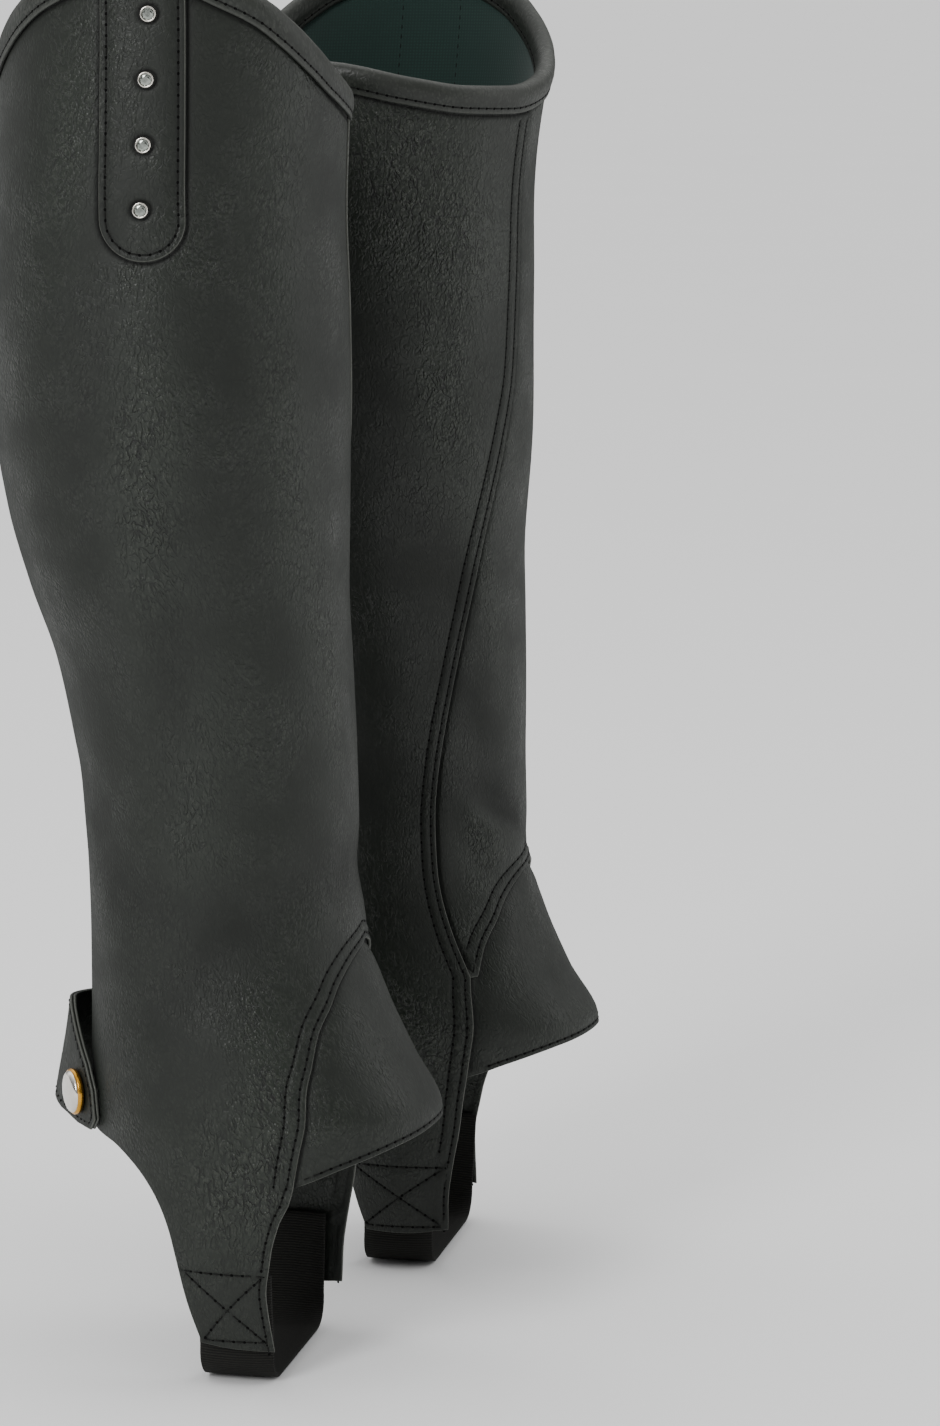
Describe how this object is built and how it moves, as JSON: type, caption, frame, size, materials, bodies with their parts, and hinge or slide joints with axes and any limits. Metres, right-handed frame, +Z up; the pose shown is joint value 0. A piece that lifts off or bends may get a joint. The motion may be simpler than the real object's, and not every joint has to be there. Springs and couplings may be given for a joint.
{
  "type": "half chaps",
  "caption": "Pair of black leather-look half chaps standing in their worn shape, with a back zip, an ankle flap, an elastic strap under the sole and crystal studs on the crest.",
  "frame": {"origin": "midway between the axes of the two calves, level with their fullest part, 330 mm above the ground", "axes": "+Z up; -Y the way that the wearer faces; +X towards the wearer's left leg"},
  "size_m": [0.2552, 0.178, 0.4598],
  "materials": {
    "leather": "black synthetic leather with a soft low sheen and a fine pebble",
    "lining": "dark teal knitted lining, matt",
    "webbing": "ribbed black elastic webbing, matt",
    "zip": "black woven zip tape with black moulded teeth",
    "silver": "polished silver cap on a brass base",
    "dark_metal": "black-painted metal, satin",
    "crystal": "clear faceted stone in a small silver cup"
  },
  "bodies": {
    "pair": {"right_ankle_flap": "leather", "right_crest_tab": "leather", "right_crystal_1": "crystal", "right_crystal_2": "crystal", "right_crystal_3": "crystal", "right_crystal_4": "crystal", "right_foot_strap": "webbing", "right_inner_panel": "leather", "right_lining": "lining", "right_outer_panel": "leather", "right_snap_cap": "silver", "right_snap_tab": "leather", "right_top_binding": "leather", "right_zip_chain": "zip", "right_zip_slider": "dark_metal", "right_zip_tape_inner": "zip", "right_zip_tape_outer": "zip", "left_ankle_flap": "leather", "left_crest_tab": "leather", "left_crystal_1": "crystal", "left_crystal_2": "crystal", "left_crystal_3": "crystal", "left_crystal_4": "crystal", "left_foot_strap": "webbing", "left_inner_panel": "leather", "left_lining": "lining", "left_outer_panel": "leather", "left_snap_cap": "silver", "left_snap_tab": "leather", "left_top_binding": "leather", "left_zip_chain": "zip", "left_zip_slider": "dark_metal", "left_zip_tape_inner": "zip", "left_zip_tape_outer": "zip"},
    "right_pull": {"right_zip_pull": "dark_metal"},
    "left_pull": {"left_zip_pull": "dark_metal"}
  },
  "joints": [
    {"name": "right_pull_hinge", "type": "hinge", "parent": "pair", "child": "right_pull", "pos_m": [-0.07, 0.07447, 0.07737], "axis": [1, 0, 0], "range_deg": [0, 150]},
    {"name": "left_pull_hinge", "type": "hinge", "parent": "pair", "child": "left_pull", "pos_m": [0.07, 0.0396, 0.07751], "axis": [1, 0, 0], "range_deg": [0, 150]}
  ]
}
